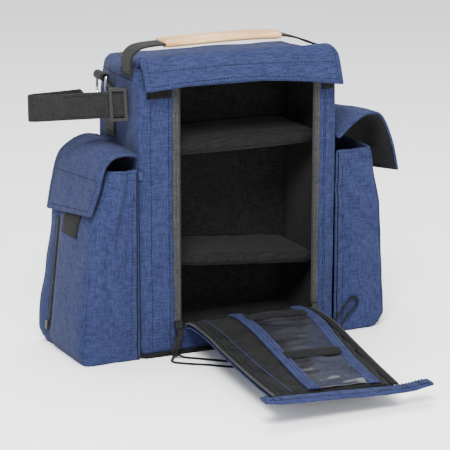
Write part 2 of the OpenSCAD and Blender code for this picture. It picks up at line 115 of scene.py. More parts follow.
class Nodes:
    """Short way to write a material's node tree."""

    def __init__(self, name):
        self.material = bpy.data.materials.new(name)
        self.material.use_nodes = True
        self.tree = self.material.node_tree
        self.shader = self.tree.nodes["Principled BSDF"]
        self.place = self.tree.nodes.new("ShaderNodeTexCoord").outputs["Object"]

    def add(self, kind, inputs=(), **settings):
        node = self.tree.nodes.new("ShaderNode" + kind)
        for key, value in settings.items():
            setattr(node, key, value)
        for key, value in dict(inputs).items():
            if isinstance(value, bpy.types.NodeSocket):
                self.tree.links.new(value, node.inputs[key])
            else:
                node.inputs[key].default_value = value
        return node

    def noise(self, scale, detail=2.0):
        inputs = {"Vector": self.place, "Scale": scale, "Detail": detail}
        return self.add("TexNoise", inputs).outputs["Fac"]

    def streaks(self, along, across):
        """Fine uneven yarn: noise drawn out along the level directions, plus noise drawn out upwards."""
        found = []
        for scale in ((along, along, across), (across, across, along)):
            place = self.add("Mapping", {"Vector": self.place, "Scale": scale}).outputs[0]
            found.append(self.add("TexNoise", {"Vector": place, "Scale": 1.0, "Detail": 2.0}).outputs["Fac"])
        return self.math("MULTIPLY", self.math("ADD", *found), 0.5)

    def threads(self, pitch_mm, axis):
        """Bands across one axis, one band for each pitch."""
        scale = 0.314 / (pitch_mm * 0.001)
        inputs = {"Vector": self.place, "Scale": scale, "Distortion": 0.6, "Detail": 1.0}
        return self.add("TexWave", inputs, bands_direction=axis).outputs["Fac"]

    def math(self, operation, a, b):
        return self.add("Math", {0: a, 1: b}, operation=operation).outputs[0]

    def weave(self, pitch_mm):
        x, y, z = (self.threads(pitch_mm, axis) for axis in "XYZ")
        return self.math("MULTIPLY", self.math("ADD", self.math("ADD", x, y), z), 0.33)

    def ramp(self, fac, *stops):
        node = self.add("ValToRGB", {"Fac": fac})
        while len(node.color_ramp.elements) < len(stops):
            node.color_ramp.elements.new(0.5)
        for element, (place, colour) in zip(node.color_ramp.elements, stops):
            element.position = place
            element.color = (*colour, 1)
        return node.outputs["Color"]

    def blend(self, fac, a, b, how="MIX"):
        node = self.add("Mix", data_type="RGBA", blend_type=how)
        for key, value in ((0, fac), (6, a), (7, b)):
            if isinstance(value, bpy.types.NodeSocket):
                self.tree.links.new(value, node.inputs[key])
            else:
                node.inputs[key].default_value = value
        return node.outputs[2]

    def bump(self, height, strength, distance_mm, below=None):
        inputs = {"Height": height, "Strength": strength, "Distance": distance_mm * 0.001}
        if below:
            inputs["Normal"] = below
        node = self.add("Bump", inputs)
        self.tree.links.new(node.outputs[0], self.shader.inputs["Normal"])
        return node.outputs[0]

    def surface(self, colour, rough, **constants):
        for key, value in (("Base Color", colour), ("Roughness", rough)):
            if isinstance(value, bpy.types.NodeSocket):
                self.tree.links.new(value, self.shader.inputs[key])
            else:
                self.shader.inputs[key].default_value = value
        for key, value in constants.items():
            self.shader.inputs[key.replace("_", " ")].default_value = value
        return self.material


def cloth(name, dark, light, pitch, bump=0.35, rough=(0.75, 0.95), sheen=0.03, creased=1.2):
    """Woven cloth of two yarn colours, with slubs, faint patches, soft creases and a woven relief."""
    n = Nodes(name)
    slubs = n.streaks(120, 950)
    yarn = n.ramp(slubs, (0.42, dark), (0.58, light))
    patches = n.ramp(n.noise(22, 3.0), (0.3, [0.88] * 3), (0.7, [1.0] * 3))
    colour = n.blend(1.0, yarn, patches, "MULTIPLY")
    weave = n.weave(pitch)
    threads = n.ramp(weave, (0.2, [0.86] * 3), (0.75, [1.0] * 3))
    colour = n.blend(0.7, colour, threads, "MULTIPLY")
    roughness = n.add("MapRange", {"Value": slubs, "To Min": rough[0], "To Max": rough[1]}).outputs[0]
    folds = n.bump(n.noise(40, 4.0), 0.6, creased)
    n.bump(n.math("ADD", weave, n.math("MULTIPLY", slubs, 0.6)), bump, pitch * 0.35, folds)
    return n.surface(colour, roughness, Sheen_Weight=sheen, Sheen_Roughness=0.5, Specular_IOR_Level=0.08)


def leather(name):
    n = Nodes(name)
    base = n.ramp(n.noise(30, 4.0), (0.3, (0.47, 0.27, 0.115)), (0.72, (0.63, 0.40, 0.20)))
    place = n.add("Mapping", {"Vector": n.place, "Scale": (22, 330, 330)}).outputs[0]
    grain = n.add("TexNoise", {"Vector": place, "Scale": 1.0, "Detail": 3.0}).outputs["Fac"]
    streaks = n.ramp(grain, (0.38, (0.74, 0.66, 0.58)), (0.62, [1.0] * 3))
    colour = n.blend(0.8, base, streaks, "MULTIPLY")
    cells = n.add("TexVoronoi", {"Vector": n.place, "Scale": 900.0}).outputs["Distance"]
    n.bump(n.math("ADD", cells, n.noise(160, 3.0)), 0.25, 0.3)
    rough = n.add("MapRange", {"Value": n.noise(90), "To Min": 0.42, "To Max": 0.62}).outputs[0]
    return n.surface(colour, rough, Specular_IOR_Level=0.4)


def plated(name, colour, rough, metallic=1.0, shine=0.5):
    n = Nodes(name)
    worn = n.noise(240, 4.0)
    roughness = n.add("MapRange", {"Value": worn, "To Min": rough * 0.7, "To Max": rough * 1.5}).outputs[0]
    tone = n.ramp(worn, (0.35, [c * 0.85 for c in colour]), (0.7, colour))
    n.bump(worn, 0.08, 0.1)
    return n.surface(tone, roughness, Metallic=metallic, Specular_IOR_Level=shine)


def clear_sheet(name):
    n = Nodes(name)
    folds = n.noise(38, 3.0)
    n.bump(folds, 0.6, 2.5)
    tone = n.ramp(n.noise(14, 2.0), (0.4, (0.010, 0.010, 0.012)), (0.75, (0.035, 0.036, 0.042)))
    rough = n.add("MapRange", {"Value": n.noise(60), "To Min": 0.04, "To Max": 0.14}).outputs[0]
    return n.surface(tone, rough, Specular_IOR_Level=0.75, Coat_Weight=0.6, Coat_Roughness=0.05)


BLUE = cloth("blue_cloth", (0.0120, 0.0165, 0.049), (0.0235, 0.0310, 0.084), 1.1, 0.5, creased=6.0)
LINING = cloth("black_lining", (0.004, 0.004, 0.0045), (0.011, 0.011, 0.0115), 1.6, 0.5)
# Darker copy of the black lining for the door pad and the window bands: the door sits in full light, so
# painted shade darkens its lining colour
SHADED_DOOR_LINING = cloth("black_lining_shaded_for_door", (0.003, 0.003, 0.003), (0.008, 0.008, 0.0085), 1.6, 0.5)
BASE = cloth("black_base_cloth", (0.003, 0.003, 0.0035), (0.008, 0.008, 0.009), 1.3)
WEBBING = cloth("grey_webbing", (0.0085, 0.0085, 0.008), (0.0145, 0.0145, 0.014), 2.0, 0.7, (0.5, 0.75))
TAPE = cloth("zip_tape", (0.026, 0.026, 0.025), (0.042, 0.042, 0.041), 0.9)
HOOK = cloth("hook_and_loop", (0.003, 0.003, 0.003), (0.010, 0.010, 0.0105), 0.8, 1.0)
CORD = cloth("braided_cord", (0.003, 0.003, 0.003), (0.012, 0.012, 0.0125), 0.9, 0.8)
THREAD = cloth("dark_thread", (0.002, 0.0025, 0.005), (0.005, 0.006, 0.012), 0.5)
BLUE_THREAD = cloth("blue_thread", (0.005, 0.008, 0.024), (0.010, 0.015, 0.040), 0.5)
TAN_THREAD = cloth("tan_thread", (0.20, 0.12, 0.06), (0.30, 0.19, 0.10), 0.5)
LEATHER = leather("natural_leather")
METAL = plated("plated_wire", (0.78, 0.79, 0.80), 0.16)
DARK_METAL = plated("dark_plating", (0.010, 0.010, 0.0105), 0.40, 0.0, 0.22)
VINYL = clear_sheet("clear_vinyl")


# ---- mesh helpers -----------------------------------------------------------

def piece(name, verts, faces, material, body=None, replaces=()):
    """Mesh from points in millimetres, riding on a body."""
    mesh = bpy.data.meshes.new(name)
    mesh.from_pydata([tuple(float(c) * 0.001 for c in v) for v in verts], [], [list(f) for f in faces])
    mesh.validate()
    mesh.shade_smooth()
    mesh.materials.append(material)
    obj = bpy.data.objects.new(name, mesh)
    bpy.context.scene.collection.objects.link(obj)
    if body:
        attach(obj, body)
    if replaces:
        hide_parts(*replaces)
    return obj


def grid_normals(points):
    along = np.gradient(points, axis=0)
    across = np.gradient(points, axis=1)
    n = np.cross(along, across)
    return n / np.maximum(np.linalg.norm(n, axis=2, keepdims=True), 1e-9)


def slab(points, thick):
    """Sheet with rounded rims whose middle surface is the grid of points."""
    points = np.asarray(points, float)
    rows, cols = points.shape[:2]
    half = np.broadcast_to(np.asarray(thick, float) / 2, (rows, cols))[..., None] * grid_normals(points)
    verts = list((points + half).reshape(-1, 3)) + list((points - half).reshape(-1, 3))
    count = rows * cols

    def at(i, j, low=False):
        return i * cols + j + (count if low else 0)

    faces = []
    for i in range(rows - 1):
        for j in range(cols - 1):
            faces.append((at(i, j), at(i + 1, j), at(i + 1, j + 1), at(i, j + 1)))
            faces.append((at(i, j + 1, 1), at(i + 1, j + 1, 1), at(i + 1, j, 1), at(i, j, 1)))
    border = ([(0, j) for j in range(cols)] + [(i, cols - 1) for i in range(1, rows)]
              + [(rows - 1, j) for j in range(cols - 2, -1, -1)] + [(i, 0) for i in range(rows - 2, 0, -1)])
    middle = len(verts)
    for i, j in border:
        inner = points[min(max(i, 1), rows - 2), min(max(j, 1), cols - 2)]
        verts.append(points[i, j] + unit(points[i, j] - inner) * np.linalg.norm(half[i, j]) * 0.8)
    for k, (i, j) in enumerate(border):
        m = (k + 1) % len(border)
        a, b = border[m]
        faces.append((at(i, j), at(a, b), middle + m, middle + k))
        faces.append((middle + k, middle + m, at(a, b, 1), at(i, j, 1)))
    return verts, faces


def sheet_piece(name, f, rows, cols, thick, material, body=None, replaces=()):
    """Slab whose middle surface is f(u, v), u and v from 0 to 1."""
    points = np.array([[f(u, v) for v in np.linspace(0, 1, cols)] for u in np.linspace(0, 1, rows)])
    return piece(name, *slab(points, thick), material, body, replaces)


def tube(points, radius, sides=10, closed=False):
    """Round tube; radius is a number or one for each point."""
    points = np.asarray(points, float)
    count = len(points)
    radii = np.broadcast_to(np.asarray(radius, float), (count,))
    verts, faces = [], []
    side = None
    for i in range(count):
        a = points[i - 1] if i or closed else points[0]
        b = points[(i + 1) % count] if i < count - 1 or closed else points[-1]
        t = unit(b - a)
        if side is None:
            side = unit(np.cross(t, vec(0.3, 0.2, 1)))
        side = unit(side - t * np.dot(side, t))
        up = np.cross(t, side)
        for k in range(sides):
            angle = 2 * math.pi * k / sides
            verts.append(points[i] + radii[i] * (side * math.cos(angle) + up * math.sin(angle)))
    for i in range(count if closed else count - 1):
        for k in range(sides):
            j, m = (i + 1) % count, (k + 1) % sides
            faces.append((i * sides + k, i * sides + m, j * sides + m, j * sides + k))
    if not closed:
        faces.append(range(sides - 1, -1, -1))
        faces.append(range((count - 1) * sides, count * sides))
    return verts, faces


def ribbon(points, widths, thick, across=7):
    """Strap along points; widths holds the vector from its middle to its edge at each point."""
    grid = [[p + w * s for s in np.linspace(-1, 1, across)] for p, w in zip(points, widths)]
    return slab(grid, thick)


class Heap:
    """Many small shapes gathered in one mesh."""

    def __init__(self):
        self.verts, self.faces = [], []

    def add(self, verts, faces):
        start = len(self.verts)
        self.verts += list(verts)
        self.faces += [[start + i for i in f] for f in faces]

    def block(self, centre, x, y, z):
        """Box with the given half-size vectors."""
        square = ((-1, -1), (1, -1), (1, 1), (-1, 1))
        self.add([centre + x * i + y * j + z * k for k in (-1, 1) for i, j in square],
                 [(3, 2, 1, 0), (4, 5, 6, 7), (0, 1, 5, 4), (1, 2, 6, 5), (2, 3, 7, 6), (3, 0, 4, 7)])

    def piece(self, name, material, body, replaces=()):
        return piece(name, self.verts, self.faces, material, body, replaces)


class Skin(Heap):
    """Faces laid over the sides of a box, with each corner moved by a function and shared."""

    def __init__(self, moved):
        super().__init__()
        self.moved, self.index = moved, {}

    def vertex(self, place):
        key = tuple(round(float(c), 3) for c in place)
        if key not in self.index:
            self.index[key] = len(self.verts)
            self.verts.append(self.moved(vec(*place)))
        return self.index[key]

    def quads(self, first, second, place, flip, leave_out=lambda x, y, z: False):
        for a, b in zip(first, first[1:]):
            for c, d in zip(second, second[1:]):
                quad = [self.vertex(place(*corner)) for corner in ((a, c), (b, c), (b, d), (a, d))]
                if not leave_out(*place((a + b) / 2, (c + d) / 2)):
                    self.faces.append(quad[::-1] if flip else quad)


def ring_faces(rows, sides):
    """Faces of a closed tube made of rows of points, with both ends capped."""
    faces = []
    for i in range(rows - 1):
        for k in range(sides):
            m = (k + 1) % sides
            faces.append((i * sides + k, (i + 1) * sides + k, (i + 1) * sides + m, i * sides + m))
    faces.append(range(sides))
    faces.append(range(rows * sides - 1, (rows - 1) * sides - 1, -1))
    return faces


threads = {}


def stitch(points, normal, body, material=THREAD, pitch=3.4, width=0.9):
    """Row of stitches along points on a surface; normal is one direction or one for each point."""
    heap = threads.setdefault((body, material), Heap())
    points = np.asarray(points, float)
    normals = np.broadcast_to(np.asarray(normal, float), points.shape)
    along = run(points)

    def at(s):
        p = vec(*[np.interp(s, along, points[:, k]) for k in range(3)])
        n = vec(*[np.interp(s, along, normals[:, k]) for k in range(3)])
        return p, unit(n)

    for k in range(int(along[-1] / pitch)):
        a, n = at(k * pitch + 0.4)
        b, _ = at(k * pitch + pitch - 0.5)
        t = unit(b - a)
        side = unit(np.cross(t, n)) * width / 2
        low, high = n * -0.5, n * 0.28
        ring = [vec(0, 0, 0) - side + low, side + low, side * 0.6 + high, -side * 0.6 + high]
        inner = [mix(a, b, 0.15) + r for r in ring] + [mix(a, b, 0.85) + r for r in ring]
        heap.add([a + low * 0.6, *inner, b + low * 0.6],
                 [(0, 2, 1), (0, 3, 2), (0, 4, 3), (0, 1, 4), (1, 2, 6, 5), (2, 3, 7, 6), (3, 4, 8, 7),
                  (4, 1, 5, 8), (9, 5, 6), (9, 6, 7), (9, 7, 8), (9, 8, 5)])


def stitch_on(found, body, material=THREAD):
    """Row of stitches along pairs of a point and the surface's normal there."""
    stitch([p for p, _ in found], [n for _, n in found], body, material)


# ---- camera, light, floor ---------------------------------------------------

camera = bpy.data.objects.new("camera", bpy.data.cameras.new("camera"))
bpy.context.scene.collection.objects.link(camera)
camera.location = (-0.7314, -1.6513, 0.5863)
aim = Vector((0.0090, 0, 0.1122)) - camera.location
camera.rotation_euler = aim.to_track_quat("-Z", "Y").to_euler()
camera.data.sensor_width = 36
camera.data.lens = 145.93
camera.data.clip_end = 50
bpy.context.scene.camera = camera

world = bpy.data.worlds.new("studio")
world.use_nodes = True
world.node_tree.nodes["Background"].inputs["Color"].default_value = (0.93, 0.96, 1.0, 1)
world.node_tree.nodes["Background"].inputs["Strength"].default_value = 1.25
bpy.context.scene.world = world


def lamp(name, place, energy, size):
    light = bpy.data.objects.new(name, bpy.data.lights.new(name, "AREA"))
    light.data.energy = energy
    light.data.size = size
    light.location = place
    light.rotation_euler = (Vector((0, 0, 0.12)) - light.location).to_track_quat("-Z", "Y").to_euler()
    bpy.context.scene.collection.objects.link(light)


lamp("key_light", (-0.7, -1.3, 1.6), 84, 0.7)
lamp("fill_light", (-0.2, -2.2, 0.5), 28, 0.8)
lamp("top_light", (0.1, 0.4, 1.9), 36, 1.2)


def make_floor():
    n = Nodes("pale_floor")
    n.surface(n.ramp(n.noise(3, 2.0), (0.3, (0.95, 0.95, 0.95)), (0.7, (0.97, 0.97, 0.97))), 0.8)
    mesh = bpy.data.meshes.new("floor")
    mesh.from_pydata([(-6, -6, 0), (6, -6, 0), (6, 6, 0), (-6, 6, 0)], [], [(0, 1, 2, 3)])
    mesh.materials.append(n.material)
    floor = bpy.data.objects.new("floor", mesh)
    bpy.context.scene.collection.objects.link(floor)


make_floor()


# ---- pull cords -------------------------------------------------------------

CORD_D = 2.2
LEFT_CORD = [
    [-76.5, -67.3, 3.2], [-79, -70, 2], [-81.5, -74, 1.2], [-81, -79, 1.2], [-77, -83, 1.2],
    [-71, -88, 1.2], [-65, -92, 1.2], [-59, -96, 1.2], [-53, -100, 1.2], [-47, -105, 1.2],
    [-41, -110, 1.2], [-35, -114, 1.2], [-29, -118, 1.2], [-23, -122, 1.2], [-17, -123, 1.2],
    [-13, -120, 1.2], [-12, -115, 1.2], [-15, -110, 1.2], [-20, -106, 1.2], [-25, -103, 1.2],
    [-30, -99, 1.2], [-36, -94, 1.2], [-42, -89, 1.2], [-48, -84, 1.2], [-54, -79, 1.2],
    [-60, -74, 1.2], [-65, -70.5, 1.4], [-69, -68, 2.4], [-72.2, -66.5, 4],
]
RIGHT_CORD = [
    [89, -67.5, 3.5], [89.5, -71, 2], [91.5, -75, 1.4], [95, -77.5, 1.6], [99.5, -77.5, 2.8],
    [103.5, -75, 5], [107, -71, 7.6], [111, -66.5, 10.4], [115.5, -62.8, 13.6], [120, -60.5, 17.2],
    [124.6, -59.4, 21], [129.2, -58.9, 25], [132.6, -58.7, 29.4], [132.8, -58.6, 34], [129.6, -58.5, 36.6],
    [125.4, -58.6, 35.6], [121.4, -58.9, 32], [117.4, -59.5, 28], [113.4, -60.5, 24], [109.4, -61.8, 20],
    [105.4, -63, 16.4], [101.4, -64, 13], [97.8, -64.7, 10.2], [94.9, -65.1, 7.9], [92.8, -65.3, 6.2],
]


def pull_cord(side, route):
    line = through(route, 90)
    obj = piece(f"{side}_elastic", *tube(line, CORD_D / 2, 12), CORD, None, [f"{side}_pull_cord"])
    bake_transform(obj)


pull_cord("left", LEFT_CORD)
pull_cord("right", RIGHT_CORD)


# ---- outer shell of the body ------------------------------------------------

LOW = vec(-BODY_X, FRONT_Y, 0.6)
HIGH = vec(BODY_X, BACK_Y, TOP_Z)
CORNER = 9.0


def rounded(p, low, high, radius):
    q = np.clip(p, low + radius, high - radius)
    d = p - q
    size = np.linalg.norm(d)
    return p if size < 1e-9 else q + d / size * radius


def dome(a, low, high):
    """1 in the middle of a span and 0 at its ends."""
    t = (a - low) / (high - low)
    return max(0.0, 4 * t * (1 - t))


def shell_point(p):
    """Where a point of the plain box lies on the soft body."""
    q = rounded(p, LOW, HIGH, CORNER)
    across, deep, tall = dome(p[0], -BODY_X, BODY_X), dome(p[1], FRONT_Y, BACK_Y), dome(p[2], 0, TOP_Z)
    if p[2] >= TOP_Z - 0.01:
        q[2] += 2.2 * across**0.5 * deep - 0.8
    if abs(p[0]) >= BODY_X - 0.01:
        q[0] += math.copysign(0.4 * deep * tall, p[0])
    if p[1] >= BACK_Y - 0.01:
        q[1] += 1.5 * across * tall
    if p[1] <= FRONT_Y + 0.01:
        q[1] += 1.6 * ripple((p[0] * 1.8, p[1], p[2] * 0.6), 46, 3)
    lean = float(np.clip((p[1] - 5) / 50, 0, 1)) * float(np.clip((p[2] - 225) / 62, 0, 1)) ** 2
    q[0] *= 1 - 0.065 * lean * (abs(p[0]) / BODY_X) ** 2
    depth = 0.4 if abs(p[0]) >= BODY_X - 0.01 else 1.3
    return q + unit(p - np.clip(p, LOW + 20, HIGH - 20)) * depth * ripple(p, 32, 1)


def stops(low, high, step, extra=()):
    edge = [CORNER * k for k in (0, 0.2, 0.4, 0.6, 0.8, 1)]
    inner = np.linspace(low + CORNER, high - CORNER, max(2, round((high - low - 2 * CORNER) / step)) + 1)
    values = [*(low + e for e in edge), *(high - e for e in edge), *inner]
    values = sorted({round(float(v), 3) for v in values})
    values = [v for v in values if all(abs(v - e) > 1.2 for e in extra)]
    return sorted(values + [float(e) for e in extra])


def body_shell():
    xs = stops(LOW[0], HIGH[0], 7, (OPEN_L - TAPE_W, OPEN_R + TAPE_W))
    ys = stops(LOW[1], HIGH[1], 8)
    zs = stops(LOW[2], HIGH[2], 8, (OPEN_LOW - 3, OPEN_HIGH))
    skin = Skin(shell_point)

    def opening(x, y, z):
        return OPEN_L - TAPE_W < x < OPEN_R + TAPE_W and OPEN_LOW - 3 < z < OPEN_HIGH

    skin.quads(xs, zs, lambda a, b: (a, FRONT_Y, b), False, opening)
    skin.quads(xs, zs, lambda a, b: (a, BACK_Y, b), True)
    skin.quads(ys, zs, lambda a, b: (-BODY_X, a, b), True)
    skin.quads(ys, zs, lambda a, b: (BODY_X, a, b), False)
    skin.quads(xs, ys, lambda a, b: (a, b, TOP_Z), False)
    shell = skin.piece("body_shell", BLUE, "bag", [
        "back_panel", "left_side_panel", "right_side_panel", "top_panel", "front_left_strip",
        "front_right_strip", "front_kick_panel", "front_header"])
    solid = shell.modifiers.new("cloth", "SOLIDIFY")
    solid.thickness, solid.offset = 0.0024, -1


body_shell()


def shell_line(start, end, count):
    """Points on the soft body between two points of the plain box."""
    return [shell_point(p) for p in np.linspace(start, end, count)]


def body_seams():
    """Welts down the four upright edges, with rows of stitches beside them, round the top and beside the
    front opening.
    """
    heap = Heap()
    for sx in (-1, 1):
        for sy in (-1, 1):
            x, y = sx * BODY_X, sy * BACK_Y
            heap.add(*tube(shell_line((x, y, 5), (x, y, TOP_Z - 8), 40), 1.1, 8))
            x = sx * (BODY_X - 13)
            stitch(shell_line((x, sy * BACK_Y, 8), (x, sy * BACK_Y, TOP_Z - 14), 60), (0, sy, 0), "bag")
        x, z = sx * BODY_X, TOP_Z - 13
        stitch(shell_line((x, FRONT_Y + 12, z), (x, BACK_Y - 10, z), 30), (sx, 0, 0), "bag")
        x = sx * (BODY_X - 12)
        stitch(shell_line((x, -40, TOP_Z), (x, BACK_Y - 11, TOP_Z), 30), (0, 0, 1), "bag")
    x = BODY_X - 11
    stitch(shell_line((-x, BACK_Y - 12, TOP_Z), (x, BACK_Y - 12, TOP_Z), 50), (0, 0, 1), "bag")
    stitch(shell_line((-x, BACK_Y, TOP_Z - 13), (x, BACK_Y, TOP_Z - 13), 50), (0, 1, 0), "bag")
    heap.piece("edge_welts", BLUE, "bag")
    for x in (OPEN_L - TAPE_W - 5, OPEN_R + TAPE_W + 5):
        stitch(shell_line((x, FRONT_Y, 10), (x, FRONT_Y, 276), 60), (0, -1, 0), "bag")


body_seams()


def base():
    """Black base cloth under the body, with black piping round its lower edge."""
    def bottom(u, v):
        p = vec(mix(-BODY_X, BODY_X, u), mix(FRONT_Y, BACK_Y, v), 1.6)
        cut = max(0.0, abs(p[0]) - (BODY_X - 7)) + max(0.0, abs(p[1]) - (BACK_Y - 7)) - 7
        if cut > 0:
            p[0] -= math.copysign(cut * 0.5, p[0])
            p[1] -= math.copysign(cut * 0.5, p[1])
        return p

    sheet_piece("base_cloth", bottom, 40, 24, 3.0, BASE, "bag", ["base_panel"])
    corners = [(-BODY_X, FRONT_Y), (BODY_X, FRONT_Y), (BODY_X, BACK_Y), (-BODY_X, BACK_Y)]
    line = []
    for k, (x, y) in enumerate(corners):
        a, b = corners[k - 1], corners[(k + 1) % 4]
        for t in np.linspace(0, 1, 7):
            start = vec(x, y) + unit(vec(*a) - vec(x, y)) * 9
            end = vec(x, y) + unit(vec(*b) - vec(x, y)) * 9
            p = mix(mix(start, vec(x, y), t), mix(vec(x, y), end, t), t)
            line.append(vec(p[0] * 1.002, p[1] * 1.002, 3.4))
    piece("base_piping", *tube(line, 1.6, 8, closed=True), BASE, "bag")


base()


# ---- inside of the body -----------------------------------------------------

def lining():
    """Padded black lining, open at the front, puffed between its seams."""
    low, high = vec(-96.2, -53.5, 12.3), vec(96.2, 44.7, 279.7)
    xs, ys, zs = (np.linspace(low[k], high[k], n) for k, n in ((0, 25), (1, 15), (2, 33)))
    def moved(p):
        q = np.clip(p, low + vec(7, -50, 7), high - 7)
        d = p - q
        size = np.linalg.norm(d)
        found = p if size < 1e-9 else q + d / size * 7
        puff = 1.6 * dome(p[1], low[1] - 5, high[1]) * (0.6 + 0.4 * math.cos(p[2] * 0.09))
        found[0] -= math.copysign(puff * (abs(p[0]) > 96), p[0])
        back = 1.5 * dome(p[0], -96, 96) * (p[1] > 44)
        return found + vec(0, -1, 0) * back + vec(0.4, 0.4, 0.4) * ripple(p, 25, 5)

    skin = Skin(moved)
    skin.quads(xs, zs, lambda a, b: (a, high[1], b), False)
    skin.quads(ys, zs, lambda a, b: (low[0], a, b), False)
    skin.quads(ys, zs, lambda a, b: (high[0], a, b), True)
    skin.quads(xs, ys, lambda a, b: (a, b, high[2]), True)
    skin.quads(xs, ys, lambda a, b: (a, b, low[2]), False)
    inner = skin.piece("padded_lining", LINING, "bag", [
        "back_liner", "left_liner", "right_liner", "base_liner", "top_liner"])
    solid = inner.modifiers.new("foam", "SOLIDIFY")
    solid.thickness, solid.offset = 0.0070, -1


lining()


def puffed(obj, fill, cap, voxel=0.005):
    """Cloth simulation that swells a padded piece a little, its result applied to the mesh."""
    remesh = obj.modifiers.new("remesh", "REMESH")
    remesh.mode, remesh.voxel_size = "VOXEL", voxel
    apply_modifiers(obj)
    rest = np.array([v.co for v in obj.data.vertices])
    soft = obj.modifiers.new("cloth", "CLOTH")
    soft.settings.use_pressure = True
    soft.settings.uniform_pressure_force = fill
    soft.settings.effector_weights.gravity = 0
    soft.settings.quality = 4
    for number in range(1, 16):
        bpy.context.scene.frame_set(number)
    apply_modifiers(obj)
    bpy.context.scene.frame_set(1)
    moved = np.array([v.co for v in obj.data.vertices]) - rest
    size = np.linalg.norm(moved, axis=1, keepdims=True)
    moved *= np.minimum(1, cap * 0.001 / np.maximum(size, 1e-9))
    obj.data.vertices.foreach_set("co", (rest + moved).ravel())
    obj.data.shade_smooth()


def apply_modifiers(obj):
    bpy.context.view_layer.update()
    made = bpy.data.meshes.new_from_object(obj.evaluated_get(bpy.context.evaluated_depsgraph_get()))
    obj.modifiers.clear()
    obj.data = made


def divider(name, body, half_x, z, slope, roll):
    """Foam shelf in lining cloth with a rolled front edge and sewn ends."""
    def shape(x, y):
        thick = roll * 2 - 1.5 if y < -36 else (roll - 1) * 2 - 1.0
        return thick * (0.8 + 0.2 * dome(x, -half_x, half_x) ** 0.3)

    xs, ys = np.linspace(-half_x + 1, half_x - 1, 40), np.linspace(-40.5, 43, 22)
    tilt = math.tan(math.radians(slope))
    grid = [[vec(x, y, z - x * tilt) for y in ys] for x in xs]
    thick = [[shape(x, y) for y in ys] for x in xs]
    pad = piece(name + "_pad", *slab(grid, thick), LINING)
    puffed(pad, 3.0, 1.6)
    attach(pad, body)
    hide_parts(name)
    for y in (-31.0, 38.0):
        line = [vec(x, y, z - x * tilt + roll - 1.2) for x in xs]
        stitch(line, (0, 0, 1), body)


divider("upper_divider", "upper_divider", 95.4, 207, 0, 7.6)
divider("lower_divider", "lower_divider", 95.2, 87, 5, 5.8)


# ---- zips -------------------------------------------------------------------

def zip_tapes():
    tapes, teeth = Heap(), Heap()
    for side, edge in ((-1, OPEN_L), (1, OPEN_R)):
        outer = edge + side * TAPE_W
        zs = np.linspace(OPEN_LOW + 4, OPEN_HIGH, 70)
        grid = [[vec(mix(outer, edge + side * 0.5, t), FRONT_Y + 0.6 + 0.7 * bow(t)
                     + 0.3 * ripple((outer, 0, z), 20), z) for t in np.linspace(0, 1, 7)] for z in zs]
        tapes.add(*slab(grid, 1.5))
        for z in np.arange(OPEN_LOW + 5, OPEN_HIGH - 1, 1.9):
            middle = vec(edge + side, FRONT_Y + 0.5, z)
            teeth.block(middle, vec(0.9, 0, 0), vec(0, 0.8, 0), vec(0, 0, 0.62))
        line = [vec(edge + side * 4.4, FRONT_Y + 0.45, z) for z in zs]
        stitch(line, (0, -1, 0), "bag", pitch=2.6, width=0.5)
    tapes.piece("opening_zip_tapes", TAPE, "bag", ["left_zip_tape", "right_zip_tape"])
    teeth.piece("opening_zip_coils", DARK_METAL, "bag")


zip_tapes()


# ---- side pockets -----------------------------------------------------------

FACES = {
    -1: ([(0, 166), (14, 171), (135, 157), (192, 138)], [(0, 171), (14, 176), (135, 162), (192, 143)]),
    1: ([(0, 158), (14, 168), (135, 160), (192, 148)], [(0, 162), (14, 172), (135, 164), (192, 152)]),
}
POCKET_F, POCKET_B, POCKET_H = -56.0, 50.0, 192.0


# Creases in each pocket's front: place across and height of both ends in mm, width, depth
CREASES = {
    -1: [(22, 188, 27, 112, 4, 3.6), (40, 128, 30, 46, 5, 3.4), (4, 14, 26, 44, 6, 4.0),
         (26, 4, 44, 34, 5, 3.6), (46, 8, 56, 48, 5, 3.0), (10, 160, 14, 80, 4, 2.2),
         (6, 60, 24, 84, 6, 2.6)],
    1: [(0, 156, 50, 100, 5, 4.4), (12, 176, 44, 146, 4, 2.8), (6, 120, 20, 50, 5, 3.0),
        (10, 8, 28, 38, 5, 3.0), (42, 92, 47, 26, 4, 2.6)],
}


def crease_depth(side, across, z):
    """How far the cloth is drawn in by the creases at one place."""
    total = 0.0
    for x0, z0, x1, z1, width, depth in CREASES[side]:
        a, b, p = vec(x0, z0), vec(x1, z1), vec(across, z)
        t = float(np.clip(np.dot(p - a, b - a) / np.dot(b - a, b - a), 0, 1))
        gap = np.linalg.norm(p - mix(a, b, t)) / width
        total += depth * math.exp(-gap * gap) * (0.35 + 0.65 * bow(min(1, max(0, t))) ** 0.5)
    return total


def face_x(side, y, z):
    front, back = FACES[side]
    t = (y - POCKET_F) / (POCKET_B - POCKET_F)
    at = [float(np.interp(z, [p[0] for p in line], [p[1] for p in line])) for line in (front, back)]
    return mix(at[0], at[1], t)


